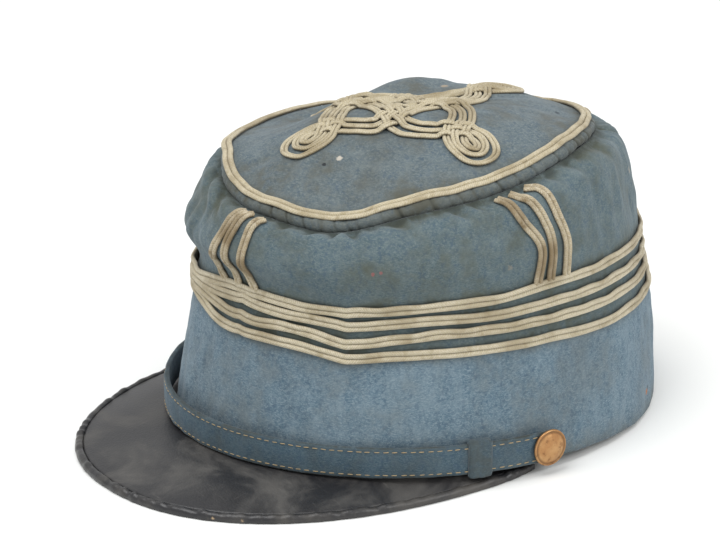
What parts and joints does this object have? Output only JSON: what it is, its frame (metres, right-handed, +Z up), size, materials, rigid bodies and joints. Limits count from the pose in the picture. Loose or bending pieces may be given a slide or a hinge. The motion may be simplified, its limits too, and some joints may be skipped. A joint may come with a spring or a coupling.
{
  "type": "kepi cap",
  "caption": "Soft wool kepi: cloth band and puffed turban joined under rows of flat braid, domed top with a braid knot, leather peak and a buttoned chin strap.",
  "frame": {"origin": "centre of the floor rectangle under the cap, on the floor that its rim and peak rest on", "axes": "+Z up, -Y the way the wearer looks (towards the peak), +X the wearer's left"},
  "size_m": [0.1853, 0.256, 0.1323],
  "materials": {
    "blue_cloth": "matt felted wool, faded and rubbed",
    "braid": "flat cream soutache braid, soiled in its groove",
    "black_leather": "smooth black leather, scuffed, half gloss",
    "strap_cloth": "matt wool strap, stitched along both edges",
    "brass": "worn plain brass, dull"
  },
  "bodies": {
    "root": {"band": "blue_cloth", "turban_front_left": "blue_cloth", "turban_back_left": "blue_cloth", "turban_back_right": "blue_cloth", "turban_front_right": "blue_cloth", "top": "blue_cloth", "top_piping": "blue_cloth", "top_braid": "braid", "braid_row_1": "braid", "braid_row_2": "braid", "braid_row_3": "braid", "braid_row_4": "braid", "braid_front_1": "braid", "braid_front_2": "braid", "braid_front_3": "braid", "braid_left_1": "braid", "braid_left_2": "braid", "braid_left_3": "braid", "braid_back_1": "braid", "braid_back_2": "braid", "braid_back_3": "braid", "braid_right_1": "braid", "braid_right_2": "braid", "braid_right_3": "braid", "top_knot": "braid", "peak": "black_leather", "peak_binding": "black_leather", "chin_strap": "strap_cloth", "strap_slide_left": "strap_cloth", "strap_slide_right": "strap_cloth", "button_left": "brass", "button_right": "brass"}
  },
  "joints": []
}
